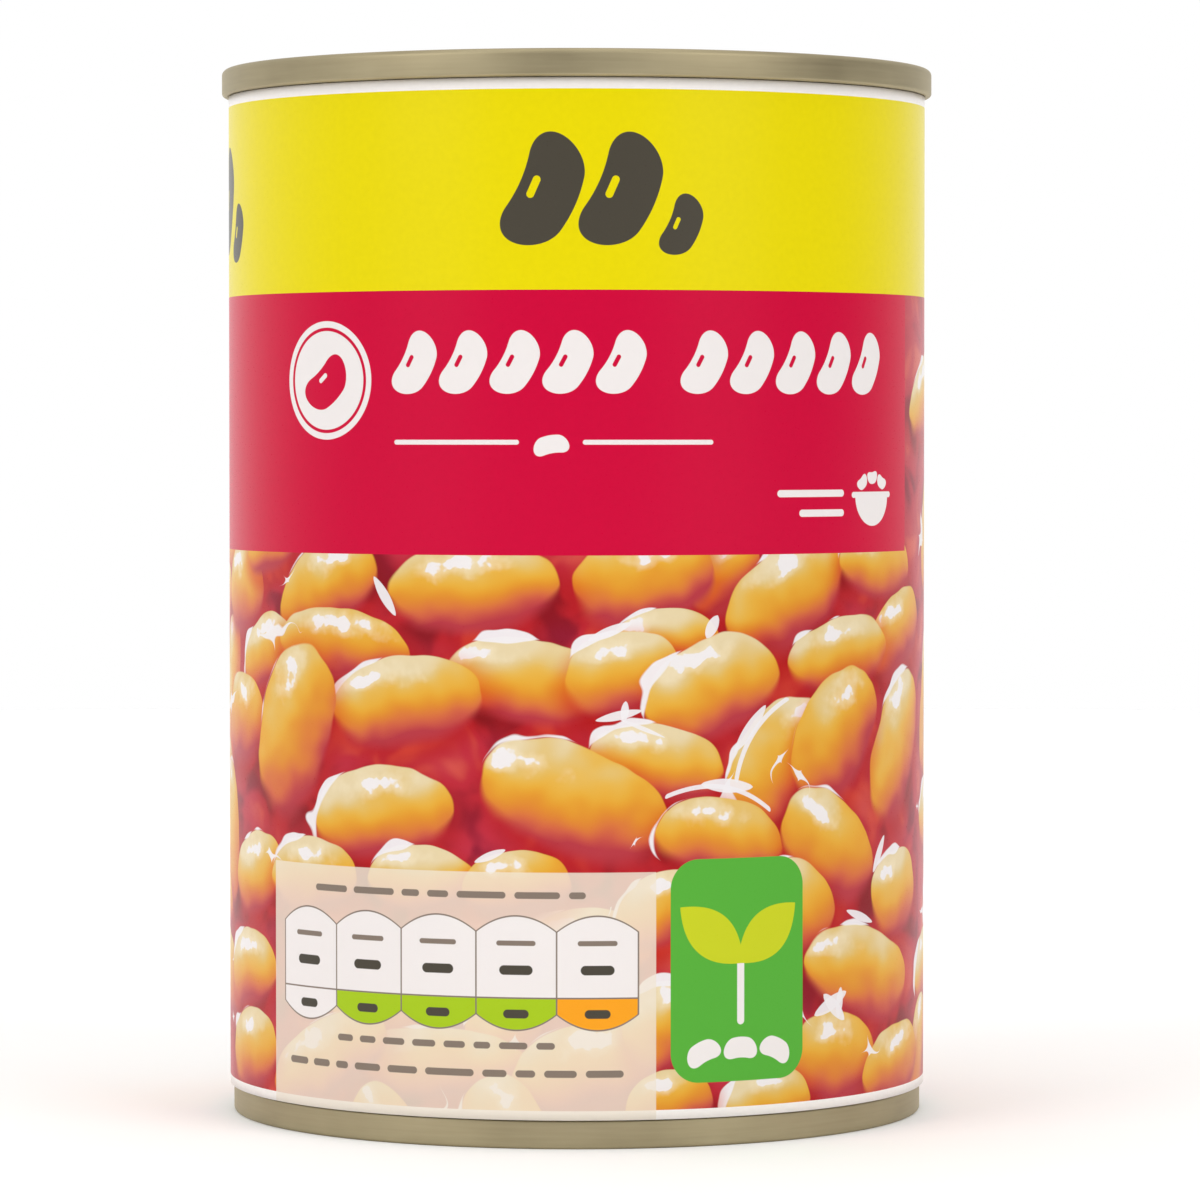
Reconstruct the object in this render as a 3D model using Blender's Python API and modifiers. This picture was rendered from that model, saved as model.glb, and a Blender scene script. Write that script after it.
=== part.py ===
"""A shut food can of the 73 mm by 110 mm size, with a paper label.

Metres, +Z up. The origin is the middle of the circle that the can stands on, and the label's front
faces -Y. The can is four pieces: a necked body full of its contents, a stamped end seamed on at
each end, and a label wrapped round the body and glued to itself in a lap.
"""

import math

import bmesh
import bpy

# Driving dimensions
CAN_HEIGHT = 0.1100
LABEL_RADIUS = 0.0369
TOP_SEAM_RADIUS = 0.0376
BASE_SEAM_RADIUS = 0.0365
TOP_SEAM_HEIGHT = 0.0028
BASE_SEAM_HEIGHT = 0.0030
NECK_RADIUS = 0.03575

# Clearance between pieces that touch on the real can
GAP = 0.0003

# Label: a sleeve with a glued lap at the back, on the +X side
LABEL_THICKNESS = 0.0003
LABEL_TOP = 0.1069
LABEL_FOOT = 0.0033
LAP_THICKNESS = 0.00015
LAP_ROOT = 0.00015
LAP_START_DEG = 36
LAP_WIDTH_DEG = 8

# Ends: how a seam and the panel inside it are shaped
SEAM_THICKNESS = 0.0012
SEAM_LIP = 0.00045
SEAM_EDGE_ROUND = 0.0003
CREST_ROUND = 0.0006
FOOT_ROUND = 0.00035
GROOVE_DEPTH = 0.0005
CHUCK_WALL_SLOPE = 0.00035
CHUCK_WALL_DEPTH = 0.0044
COUNTERSINK_ROUND = 0.00045
PANEL_DEPTH = 0.0045
PLATE_DEPTH = 0.0064
BEAD_DROP = 0.00035
BEAD_RUN = 0.0011
OUTER_BEAD_RADIUS = 0.0300
INNER_BEAD_RADIUS = 0.0215
CENTRE_BEAD_RADIUS = 0.0130

# Body
BODY_RADIUS = LABEL_RADIUS - LABEL_THICKNESS - GAP
NECK_WALL = 0.0003
NECK_FOOT = BASE_SEAM_HEIGHT - GROOVE_DEPTH + GAP
NECK_START = 0.0033
NECK_END = 0.0045

# Facets
TURN_STEPS = 90
ARC_STEPS = 3
BEAD_STEPS = 3
NECK_STEPS = 4
MERGE_DISTANCE = 0.00001

TINPLATE_COLOUR = (0.367, 0.309, 0.195, 1.0)
LABEL_COLOUR = (0.638, 0.003, 0.045, 1.0)


def clear_scene():
    for obj in list(bpy.data.objects):
        bpy.data.objects.remove(obj)


def material(name, colour, roughness, metallic):
    made = bpy.data.materials.new(name)
    made.use_nodes = True
    shader = made.node_tree.nodes["Principled BSDF"]
    shader.inputs["Base Color"].default_value = colour
    shader.inputs["Roughness"].default_value = roughness
    shader.inputs["Metallic"].default_value = metallic
    return made


def arc(centre_r, centre_z, radius, start_deg, end_deg, steps=ARC_STEPS):
    """Points (r, z) on an arc, both ends included. 0 degrees points outwards and 90 up."""
    points = []
    for i in range(steps + 1):
        angle = math.radians(start_deg + (end_deg - start_deg) * i / steps)
        points.append((centre_r + radius * math.cos(angle), centre_z + radius * math.sin(angle)))
    return points


def bead(radius, high, low):
    """A soft step in a stamped panel, from low inside this radius to high outside it."""
    points = []
    for i in range(BEAD_STEPS + 1):
        share = i / BEAD_STEPS
        height = low + (high - low) * (1 - math.cos(math.pi * share)) / 2
        points.append((radius + BEAD_RUN * (share - 0.5), height))
    return points


def panel(rim_height, crest_inner_radius):
    """The stamped face of an end, from its middle out to the crest of its seam."""
    first = rim_height - PANEL_DEPTH
    second = first - BEAD_DROP
    third = second - BEAD_DROP
    wall_foot = crest_inner_radius - CHUCK_WALL_SLOPE
    sink_centre_r = wall_foot - COUNTERSINK_ROUND
    sink_centre_z = rim_height - CHUCK_WALL_DEPTH
    points = [(0.0, second)]
    points += bead(CENTRE_BEAD_RADIUS, third, second)
    points += bead(INNER_BEAD_RADIUS, second, third)
    points += bead(OUTER_BEAD_RADIUS, first, second)
    points.append((sink_centre_r - COUNTERSINK_ROUND, first))
    points += arc(sink_centre_r, sink_centre_z, COUNTERSINK_ROUND, 225, 360)
    return points


def top_end_profile():
    """Down the outer side: panel, chuck wall, crest, seam, then the plug behind the label."""
    inner = TOP_SEAM_RADIUS - SEAM_THICKNESS
    seam_foot = CAN_HEIGHT - TOP_SEAM_HEIGHT
    edge_r = TOP_SEAM_RADIUS - SEAM_EDGE_ROUND
    points = panel(CAN_HEIGHT, inner)
    points += arc(inner + CREST_ROUND, CAN_HEIGHT - CREST_ROUND, CREST_ROUND, 180, 0, 2 * ARC_STEPS)
    points += arc(edge_r, seam_foot + SEAM_EDGE_ROUND, SEAM_EDGE_ROUND, 0, -90)
    points.append((TOP_SEAM_RADIUS - SEAM_LIP - SEAM_EDGE_ROUND, seam_foot))
    points.append((BODY_RADIUS, seam_foot + SEAM_EDGE_ROUND))
    points.append((BODY_RADIUS, CAN_HEIGHT - PLATE_DEPTH))
    points.append((0.0, CAN_HEIGHT - PLATE_DEPTH))
    return points


def base_end_profile():
    """The same end the other way up, with a flat foot and a groove that takes the body's neck."""
    inner = BASE_SEAM_RADIUS - SEAM_THICKNESS
    groove = BASE_SEAM_HEIGHT - GROOVE_DEPTH
    lip = BASE_SEAM_RADIUS - SEAM_LIP
    plug = NECK_RADIUS - NECK_WALL - GAP
    edge_r = BASE_SEAM_RADIUS - SEAM_EDGE_ROUND
    points = [(0.0, PLATE_DEPTH), (plug, PLATE_DEPTH), (plug, groove), (lip, groove)]
    points.append((lip, BASE_SEAM_HEIGHT - GAP / 2))
    points += arc(edge_r, BASE_SEAM_HEIGHT - SEAM_EDGE_ROUND, SEAM_EDGE_ROUND, 90, 0)
    points += arc(BASE_SEAM_RADIUS - FOOT_ROUND, FOOT_ROUND, FOOT_ROUND, 0, -90)
    points += arc(inner + FOOT_ROUND, FOOT_ROUND, FOOT_ROUND, -90, -180)
    points += [(r, -z) for r, z in reversed(panel(0.0, inner))]
    return points


def body_profile():
    """The filled body, its wall drawn in at the foot to a neck that stands in the base's groove."""
    roof = CAN_HEIGHT - PLATE_DEPTH - GAP
    floor = PLATE_DEPTH + GAP
    points = [(0.0, roof), (BODY_RADIUS, roof)]
    for i in range(NECK_STEPS + 1):
        share = i / NECK_STEPS
        drawn_in = (BODY_RADIUS - NECK_RADIUS) * (1 - math.cos(math.pi * share)) / 2
        points.append((BODY_RADIUS - drawn_in, NECK_END + (NECK_START - NECK_END) * share))
    points.append((NECK_RADIUS, NECK_FOOT))
    points.append((NECK_RADIUS - NECK_WALL, NECK_FOOT))
    points.append((NECK_RADIUS - NECK_WALL, floor))
    points.append((0.0, floor))
    return points


def ring_profile(inner, outer, low, high):
    """A closed rectangle, down its outer side first."""
    return [(outer, high), (outer, low), (inner, low), (inner, high), (outer, high)]


def turned(name, profile, finish, collection, degrees=360.0, steps=TURN_STEPS):
    """A profile in the XZ plane turned round Z by a Screw modifier."""
    closed_loop = profile[0] == profile[-1]
    points = profile[:-1] if closed_loop else profile
    edges = [(i, i + 1) for i in range(len(points) - 1)]
    if closed_loop:
        edges.append((len(points) - 1, 0))
    mesh = bpy.data.meshes.new(name)
    mesh.from_pydata([(r, 0.0, z) for r, z in points], edges, [])
    mesh.materials.append(finish)
    obj = bpy.data.objects.new(name, mesh)
    collection.objects.link(obj)
    screw = obj.modifiers.new("turn", "SCREW")
    screw.axis = "Z"
    screw.angle = math.radians(degrees)
    screw.steps = steps
    screw.render_steps = steps
    screw.use_merge_vertices = degrees == 360.0
    screw.merge_threshold = MERGE_DISTANCE
    screw.use_smooth_shade = True
    return obj


def lap_cutter(collection):
    """The glued lap: a strip of the sleeve's own height standing a paper's thickness proud of it."""
    step_deg = 360 / TURN_STEPS
    steps = round(LAP_WIDTH_DEG / step_deg)
    profile = ring_profile(
        LABEL_RADIUS - LAP_ROOT, LABEL_RADIUS + LAP_THICKNESS, LABEL_FOOT, LABEL_TOP
    )
    strip = turned("lap_strip", profile, None, collection, LAP_WIDTH_DEG, steps)
    graph = bpy.context.evaluated_depsgraph_get()
    mesh = bpy.data.meshes.new_from_object(strip.evaluated_get(graph))
    strip.modifiers.clear()
    strip.data = mesh
    shape = bmesh.new()
    shape.from_mesh(mesh)
    open_edges = [edge for edge in shape.edges if edge.is_boundary]
    bmesh.ops.holes_fill(shape, edges=open_edges)
    bmesh.ops.recalc_face_normals(shape, faces=shape.faces)
    shape.to_mesh(mesh)
    shape.free()
    strip.rotation_euler.z = math.radians(LAP_START_DEG)
    strip.hide_render = True
    strip.display_type = "WIRE"
    return strip


def main():
    clear_scene()
    parts = bpy.data.collections.new("food_can")
    helpers = bpy.data.collections.new("helpers")
    bpy.context.scene.collection.children.link(parts)
    bpy.context.scene.collection.children.link(helpers)
    tinplate = material("lacquered_tinplate", TINPLATE_COLOUR, 0.38, 1.0)
    paper = material("coated_label_paper", LABEL_COLOUR, 0.35, 0.0)

    turned("can_body", body_profile(), tinplate, parts)
    turned("top_end", top_end_profile(), tinplate, parts)
    turned("base_end", base_end_profile(), tinplate, parts)
    sleeve = ring_profile(LABEL_RADIUS - LABEL_THICKNESS, LABEL_RADIUS, LABEL_FOOT, LABEL_TOP)
    label = turned("label", sleeve, paper, parts)
    lap = label.modifiers.new("lap", "BOOLEAN")
    lap.operation = "UNION"
    lap.solver = "EXACT"
    lap.object = lap_cutter(helpers)


main()
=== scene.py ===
"""The looks of a shut food can: tinplate ends and a printed paper label, in a white studio.

Everything is in metres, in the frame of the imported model, unless a name ends in _MM or _DEG. Angles
round the can are counted from the middle of the front, positive towards the right.
"""

import math
import random

import bmesh
import bpy
import numpy as np
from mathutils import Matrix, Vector


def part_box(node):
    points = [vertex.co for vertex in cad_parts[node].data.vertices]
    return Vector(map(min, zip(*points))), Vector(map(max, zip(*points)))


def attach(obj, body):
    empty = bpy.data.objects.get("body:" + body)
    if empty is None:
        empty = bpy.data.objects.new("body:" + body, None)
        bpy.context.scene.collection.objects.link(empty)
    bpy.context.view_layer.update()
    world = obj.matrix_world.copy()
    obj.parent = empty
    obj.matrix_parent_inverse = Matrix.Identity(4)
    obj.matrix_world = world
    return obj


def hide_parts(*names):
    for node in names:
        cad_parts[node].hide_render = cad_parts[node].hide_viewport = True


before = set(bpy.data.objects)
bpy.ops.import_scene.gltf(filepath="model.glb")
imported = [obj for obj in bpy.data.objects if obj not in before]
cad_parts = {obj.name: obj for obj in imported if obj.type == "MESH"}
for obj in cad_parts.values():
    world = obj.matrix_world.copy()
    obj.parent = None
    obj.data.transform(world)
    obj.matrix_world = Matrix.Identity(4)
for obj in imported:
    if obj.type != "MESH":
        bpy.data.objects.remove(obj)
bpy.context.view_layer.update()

# Camera
# A long lens at the photo's distance, a little over the middle of the can's height and almost level.
# The photo's frame puts the can's axis slightly left of its middle, which is the small turn.
CAMERA_DISTANCE = 0.5867
CAMERA_HEIGHT = 0.0719
CAMERA_TURN_DEG = 0.2407
CAMERA_PITCH_DEG = 1.7533
CAMERA_LENS_MM = 165.43
CAMERA_SENSOR_MM = 36.0
NEAREST_SEEN = 0.01
FARTHEST_SEEN = 50.0

camera_data = bpy.data.cameras.new("photo_camera")
camera_data.lens = CAMERA_LENS_MM
camera_data.sensor_width = CAMERA_SENSOR_MM
camera_data.clip_start = NEAREST_SEEN
camera_data.clip_end = FARTHEST_SEEN
camera = bpy.data.objects.new("photo_camera", camera_data)
camera.location = (0.0, -CAMERA_DISTANCE, CAMERA_HEIGHT)
camera.rotation_euler = (
    math.radians(90.0 - CAMERA_PITCH_DEG),
    0.0,
    math.radians(-CAMERA_TURN_DEG),
)
bpy.context.scene.collection.objects.link(camera)
bpy.context.scene.camera = camera
bpy.context.scene.view_settings.view_transform = "Standard"

# Studio
# A white room: bright walls behind and beside the can, a dimmer one at the camera's side, a lamp
# overhead that brings out the beads of the ends, and two large soft boxes high in front, so that no
# box is mirrored in the middle of the upright wall.
FLOOR_RADIUS = 0.85
FLOOR_SIDES = 96
FLOOR_COLOUR = "FFFFFF"
ROLLER_STIPPLE = 0.0025
BACKDROP_STRENGTH = 1.0
CEILING_STRENGTH = 0.85
OVERHEAD_STRENGTH = 1.75
FRONT_WALL_STRENGTH = 0.2
BACK_WALL_STRENGTH = 1.1
BRIGHTEST_WALL = (-0.22, 0.975, 0.0)
WALL_FADE = (-0.3, 0.9)
CEILING_FADE = (0.25, 0.75)
OVERHEAD_FADE = (0.88, 0.97)
WHITE = (1.0, 1.0, 1.0, 1.0)
SOFT_BOX_SIZE = 1.1
SOFT_BOX_POWER = 11.6
SOFT_BOX_DISTANCE = 2.0
SOFT_BOX_HEIGHT_DEG = 24.0
SOFT_BOX_SIDES_DEG = (-50.0, 46.0)
LIT_HEIGHT = 0.055


def linear(hex_colour):
    """An sRGB hex colour as a linear RGBA value."""
    channels = [int(hex_colour[i : i + 2], 16) / 255 for i in (0, 2, 4)]
    scale = [c / 12.92 if c <= 0.04045 else ((c + 0.055) / 1.055) ** 2.4 for c in channels]
    return (*scale, 1.0)


def add(tree, kind, *values, named=None, **settings):
    """Adds a shader node with its settings, and feeds its inputs with values, sockets or nodes."""
    made = tree.nodes.new("ShaderNode" + kind)
    for setting, value in settings.items():
        setattr(made, setting, value)
    for key, value in [*enumerate(values), *(named or {}).items()]:
        if isinstance(value, bpy.types.Node):
            value = value.outputs[0]
        if isinstance(value, bpy.types.NodeSocket):
            tree.links.new(value, made.inputs[key])
        elif value is not None:
            made.inputs[key].default_value = value
    return made


def new_material(name):
    """An empty material with its output node, ready for a surface."""
    made = bpy.data.materials.new(name)
    made.use_nodes = True
    made.node_tree.nodes.clear()
    return made, made.node_tree


def painted_floor():
    """Matt white studio paint, rolled on: a faint roller stipple and no gloss."""
    made, tree = new_material("matt studio paint, rolled")
    place = add(tree, "TexCoord").outputs["Object"]
    pattern = {"Vector": place, "Scale": 1.0 / ROLLER_STIPPLE, "Detail": 2.0}
    stipple = add(tree, "TexNoise", named=pattern)
    relief = add(tree, "Bump", named={"Height": stipple, "Strength": 0.05, "Distance": 0.0005})
    shader = add(tree, "BsdfPrincipled")
    shader.inputs["Base Color"].default_value = linear(FLOOR_COLOUR)
    shader.inputs["Roughness"].default_value = 0.9
    shader.inputs["Specular IOR Level"].default_value = 0.1
    tree.links.new(relief.outputs[0], shader.inputs["Normal"])
    add(tree, "OutputMaterial", shader)
    return made


shape = bmesh.new()
bmesh.ops.create_circle(shape, cap_ends=True, segments=FLOOR_SIDES, radius=FLOOR_RADIUS)
floor_mesh = bpy.data.meshes.new("studio_floor")
shape.to_mesh(floor_mesh)
shape.free()
floor_mesh.materials.append(painted_floor())
floor = bpy.data.objects.new("studio_floor", floor_mesh)
bpy.context.scene.collection.objects.link(floor)

for number, side in enumerate(SOFT_BOX_SIDES_DEG):
    box_data = bpy.data.lights.new(f"soft_box_{number}", "AREA")
    box_data.shape = "SQUARE"
    box_data.size = SOFT_BOX_SIZE
    box_data.energy = SOFT_BOX_POWER
    soft_box = bpy.data.objects.new(f"soft_box_{number}", box_data)
    reach = SOFT_BOX_DISTANCE * math.cos(math.radians(SOFT_BOX_HEIGHT_DEG))
    soft_box.location = (
        reach * math.sin(math.radians(side)),
        -reach * math.cos(math.radians(side)),
        LIT_HEIGHT + SOFT_BOX_DISTANCE * math.sin(math.radians(SOFT_BOX_HEIGHT_DEG)),
    )
    aim = Vector((0.0, 0.0, LIT_HEIGHT)) - soft_box.location
    soft_box.rotation_euler = aim.to_track_quat("-Z", "Y").to_euler()
    bpy.context.scene.collection.objects.link(soft_box)

world = bpy.data.worlds.new("white_studio")
world.use_nodes = True
sky = world.node_tree
sky.nodes.clear()
direction = add(sky, "TexCoord").outputs["Generated"]
depth = add(sky, "VectorMath", direction, BRIGHTEST_WALL, operation="DOT_PRODUCT").outputs["Value"]
up = add(sky, "SeparateXYZ", direction).outputs["Z"]
strengths = (FRONT_WALL_STRENGTH, BACK_WALL_STRENGTH)
walls = add(sky, "MapRange", depth, *WALL_FADE, *strengths, interpolation_type="SMOOTHSTEP")
ceiling = add(sky, "MapRange", up, *CEILING_FADE, 0.0, 1.0, interpolation_type="SMOOTHSTEP")
overhead = add(sky, "MapRange", up, *OVERHEAD_FADE, 0.0, 1.0, interpolation_type="SMOOTHSTEP")
room = add(sky, "Mix", ceiling, None, walls, CEILING_STRENGTH)
room = add(sky, "Mix", overhead, None, room, OVERHEAD_STRENGTH)
lit_walls = add(sky, "Background", WHITE, room)
seen_walls = add(sky, "Background", WHITE, BACKDROP_STRENGTH)
straight = add(sky, "LightPath").outputs["Is Camera Ray"]
add(sky, "OutputWorld", add(sky, "MixShader", straight, lit_walls, seen_walls))
bpy.context.scene.world = world

# Can body
# The body is tinplate, welded down its side and necked in at the foot. The label covers it, apart
# from hairline rings under the top seam and over the base seam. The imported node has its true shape.
MM = 0.001
TINPLATE_DARK = "9F9375"
TINPLATE_COLOUR = "AB9F80"
TINPLATE_LIGHT = "B5A98A"
ROLLING_GRAIN_MM = 0.35
LACQUER_CLOUD_MM = 11.0
GRAIN_SHARE = 0.35
GRAIN_RELIEF_MM = 0.03


def tinplate(name, grain_scale, roughness, relief_strength):
    """Lacquered tinplate: a satin grey-gold metal with fine rolling grain and faint lacquer cloud.

    grain_scale stretches the grain, and gives its frequency along X, Y and Z in lines per grain
    width. The grain is coarser than real rolling lines, which would be too fine to show.
    """
    made, tree = new_material(name)
    place = add(tree, "TexCoord").outputs["Object"]
    lines_per_metre = 1.0 / (ROLLING_GRAIN_MM * MM)
    stretched = add(
        tree, "Mapping", place, named={"Scale": [lines_per_metre * s for s in grain_scale]}
    )
    grain = add(tree, "TexNoise", named={"Vector": stretched, "Scale": 1.0, "Detail": 3.0})
    clouds = {"Vector": place, "Scale": 1.0 / (LACQUER_CLOUD_MM * MM), "Detail": 3.0}
    cloud = add(tree, "TexNoise", named=clouds)
    tone = add(tree, "Math", grain, GRAIN_SHARE, operation="MULTIPLY")
    tone = add(tree, "Math", cloud, 1.0 - GRAIN_SHARE, tone, operation="MULTIPLY_ADD")
    colours = add(tree, "ValToRGB", tone)
    colours.color_ramp.elements[0].position = 0.30
    colours.color_ramp.elements[0].color = linear(TINPLATE_DARK)
    colours.color_ramp.elements[1].position = 0.70
    colours.color_ramp.elements[1].color = linear(TINPLATE_LIGHT)
    colours.color_ramp.elements.new(0.5).color = linear(TINPLATE_COLOUR)
    gloss = add(tree, "MapRange", tone, 0.3, 0.7, roughness - 0.05, roughness + 0.06)
    lines = {"Height": grain, "Strength": relief_strength, "Distance": GRAIN_RELIEF_MM * MM}
    relief = add(tree, "Bump", named=lines)
    shader = add(tree, "BsdfPrincipled")
    tree.links.new(colours.outputs[0], shader.inputs["Base Color"])
    tree.links.new(gloss.outputs[0], shader.inputs["Roughness"])
    tree.links.new(relief.outputs[0], shader.inputs["Normal"])
    shader.inputs["Metallic"].default_value = 1.0
    add(tree, "OutputMaterial", shader)
    return made


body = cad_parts["can_body"]
body.data.materials.clear()
body.data.materials.append(tinplate("body tinplate, rolled", (0.05, 0.05, 1.0), 0.48, 0.3))

# Top end
# A disc of tinplate, stamped with a countersink and three beads, and rolled over the body's flange
# into a double seam. The seam is burnished by the seaming rollers, and the panel keeps the grain of
# the rolled sheet.
SPIN_STEPS = 256
ARC_STEPS = 8
CREST_STEPS = 16
SHARP_EDGE_DEG = 40
SEAM_THICKNESS_MM = 1.2
SEAM_CREST_MM = 0.6
SEAM_EDGE_MM = 0.35
SEAM_LIP_MM = 0.45
CHUCK_WALL_SLOPE_MM = 0.35
CHUCK_WALL_DEPTH_MM = 4.4
COUNTERSINK_MM = 0.45
COUNTERSINK_LIP_MM = 0.72
PANEL_DEPTH_MM = 4.5
PLATE_DEPTH_MM = 6.4
BEAD_DROP_MM = 0.35
BEAD_RUN_MM = 1.1
BEAD_RADII_MM = (30.0, 21.5, 13.0)
TOP_SEAM_HEIGHT_MM = 2.8
PANEL_RADIUS_MM = 34.5
PANEL_FLATNESS = 0.5


def bend(centre_r, centre_z, radius, start_deg, end_deg, steps=ARC_STEPS):
    """Points (r, z) in mm on an arc. 0 degrees points outwards and 90 up."""
    angles = [
        math.radians(start_deg + (end_deg - start_deg) * i / steps) for i in range(steps + 1)
    ]
    return [(centre_r + radius * math.cos(a), centre_z + radius * math.sin(a)) for a in angles]


def bead(radius, inside, outside):
    """A soft step in a stamped panel, between the heights inside and outside this radius."""
    points = []
    for i in range(ARC_STEPS + 1):
        share = i / ARC_STEPS
        rise = (1 - math.cos(math.pi * share)) / 2
        points.append((radius + BEAD_RUN_MM * (share - 0.5), inside + (outside - inside) * rise))
    return points


def end_panel(rim_mm, crest_inner_mm):
    """The stamped face of an end, from the middle out to the crest of its seam, facing up."""
    first = rim_mm - PANEL_DEPTH_MM
    second = first - BEAD_DROP_MM
    third = second - BEAD_DROP_MM
    outer, middle, inner = BEAD_RADII_MM
    sink_r = crest_inner_mm - CHUCK_WALL_SLOPE_MM - COUNTERSINK_MM
    sink_z = rim_mm - CHUCK_WALL_DEPTH_MM
    points = [(0.0, second)]
    points += bead(inner, second, third)
    points += bead(middle, third, second)
    points += bead(outer, second, first)
    points.append((sink_r - COUNTERSINK_LIP_MM, first))
    points += bend(sink_r, sink_z, COUNTERSINK_MM, 225, 360)
    return points


def turned_end(name, profile_mm, panel_side, materials):
    """A closed profile spun round the can's axis: the panel takes the first material, and the
    seam and its chuck wall the second."""
    shape = bmesh.new()
    corners = [shape.verts.new((r * MM, 0.0, z * MM)) for r, z in profile_mm]
    edges = [shape.edges.new(pair) for pair in zip(corners, corners[1:])]
    bmesh.ops.spin(
        shape,
        geom=corners + edges,
        axis=(0.0, 0.0, 1.0),
        cent=(0.0, 0.0, 0.0),
        angle=2 * math.pi,
        steps=SPIN_STEPS,
        use_merge=True,
    )
    bmesh.ops.remove_doubles(shape, verts=shape.verts, dist=0.000001)
    bmesh.ops.recalc_face_normals(shape, faces=shape.faces)
    for face in shape.faces:
        face.smooth = True
        centre = face.calc_center_median()
        on_panel = math.hypot(centre.x, centre.y) < PANEL_RADIUS_MM * MM
        faces_out = face.normal.z * panel_side > PANEL_FLATNESS
        face.material_index = 0 if on_panel and faces_out else 1
    mesh = bpy.data.meshes.new(name)
    shape.to_mesh(mesh)
    shape.free()
    for finish in materials:
        mesh.materials.append(finish)
    mesh.set_sharp_from_angle(angle=math.radians(SHARP_EDGE_DEG))
    piece = bpy.data.objects.new(name, mesh)
    bpy.context.scene.collection.objects.link(piece)
    return piece


panel_finish = tinplate("end panel tinplate, stamped", (0.04, 1.0, 0.04), 0.24, 0.4)
seam_finish = tinplate("seam tinplate, roller burnished", (0.04, 0.04, 1.0), 0.52, 0.35)

top_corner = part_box("top_end")[1]
rim = top_corner.z / MM
seam_r = top_corner.y / MM
body_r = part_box("can_body")[1].y / MM
seam_foot = rim - TOP_SEAM_HEIGHT_MM
crest_inner = seam_r - SEAM_THICKNESS_MM
top_profile = end_panel(rim, crest_inner)
top_profile += bend(
    crest_inner + SEAM_CREST_MM, rim - SEAM_CREST_MM, SEAM_CREST_MM, 180, 0, CREST_STEPS
)
top_profile += bend(seam_r - SEAM_EDGE_MM, seam_foot + SEAM_EDGE_MM, SEAM_EDGE_MM, 0, -90)
top_profile.append((seam_r - SEAM_LIP_MM - SEAM_EDGE_MM, seam_foot))
top_profile.append((body_r, seam_foot + SEAM_EDGE_MM))
top_profile.append((body_r, rim - PLATE_DEPTH_MM))
top_profile.append((0.0, rim - PLATE_DEPTH_MM))
top_end = turned_end("top_end_seamed", top_profile, 1, [panel_finish, seam_finish])
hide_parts("top_end")
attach(top_end, "root")

# Base end
# The same stamping the other way up. Its seam is smaller, because the body is necked in at its foot,
# and the can stands on the seam's flat foot.
BASE_SEAM_HEIGHT_MM = 3.0
FOOT_EDGE_MM = 0.35
GROOVE_DEPTH_MM = 0.5
NECK_RADIUS_MM = 35.75
NECK_WALL_MM = 0.6

base_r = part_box("base_end")[1].y / MM
base_inner = base_r - SEAM_THICKNESS_MM
groove = BASE_SEAM_HEIGHT_MM - GROOVE_DEPTH_MM
plug_r = NECK_RADIUS_MM - NECK_WALL_MM
base_profile = [(0.0, PLATE_DEPTH_MM), (plug_r, PLATE_DEPTH_MM), (plug_r, groove)]
base_profile += [(base_r - SEAM_LIP_MM, groove), (base_r - SEAM_LIP_MM, BASE_SEAM_HEIGHT_MM)]
base_profile += bend(
    base_r - SEAM_EDGE_MM, BASE_SEAM_HEIGHT_MM - SEAM_EDGE_MM, SEAM_EDGE_MM, 90, 0
)
base_profile += bend(base_r - FOOT_EDGE_MM, FOOT_EDGE_MM, FOOT_EDGE_MM, 0, -90)
base_profile += bend(base_inner + FOOT_EDGE_MM, FOOT_EDGE_MM, FOOT_EDGE_MM, -90, -180)
base_profile += [(r, -z) for r, z in reversed(end_panel(0.0, base_inner))]
base_end = turned_end("base_end_seamed", base_profile, -1, [panel_finish, seam_finish])
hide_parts("base_end")
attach(base_end, "root")

# Label: the sheet
# One sheet of coated paper, printed flat, rolled round the body and glued to itself in a lap at the
# back. It is laid out flat first, in mm, with X along the wrap and Z up the can, and then rolled.
# Each small cell of the sheet is told which beans and which printed marks cross it.
LABEL_FOOT_MM = 2.95
PICTURE_FOOT_MM = 3.9
FIELD_SPLIT_MM = 15.2
PICTURE_TOP_MM = 59.5
CRIMSON_TOP_MM = 86.0
YELLOW_TOP_MM = 106.0
LABEL_TOP_MM = 107.12
FREE_EDGE_DEG = -234.0
CRIMSON_RIGHT_DEG = 67.4
CELLS_TO_CRIMSON_RIGHT = 195
CELLS_AROUND = 238
CRIMSON_LEFT_CELL = 22
LAP_RISE_MM = 0.15
LAP_DEG = 8.0
LAP_RAMP_DEG = 4.0
MARGIN, YELLOW, CRIMSON, PICTURE, BARE_PAPER = range(5)
CELL_BANDS = (
    (LABEL_FOOT_MM, PICTURE_FOOT_MM, 1),
    (PICTURE_FOOT_MM, FIELD_SPLIT_MM, 11),
    (FIELD_SPLIT_MM, PICTURE_TOP_MM, 45),
    (PICTURE_TOP_MM, CRIMSON_TOP_MM, 26),
    (CRIMSON_TOP_MM, YELLOW_TOP_MM, 20),
    (YELLOW_TOP_MM, LABEL_TOP_MM, 1),
)

label_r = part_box("label")[1].y / MM
MM_PER_DEG = label_r * math.pi / 180
cell_deg = (CRIMSON_RIGHT_DEG - FREE_EDGE_DEG) / CELLS_TO_CRIMSON_RIGHT
sheet_left = FREE_EDGE_DEG * MM_PER_DEG
sheet_right = (FREE_EDGE_DEG + CELLS_AROUND * cell_deg) * MM_PER_DEG
crimson_left = (FREE_EDGE_DEG + CRIMSON_LEFT_CELL * cell_deg) * MM_PER_DEG
crimson_right = CRIMSON_RIGHT_DEG * MM_PER_DEG
row_heights = [LABEL_FOOT_MM]
for low, high, rows in CELL_BANDS:
    row_heights += [low + (high - low) * (i + 1) / rows for i in range(rows)]
row_count = len(row_heights) - 1

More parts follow.
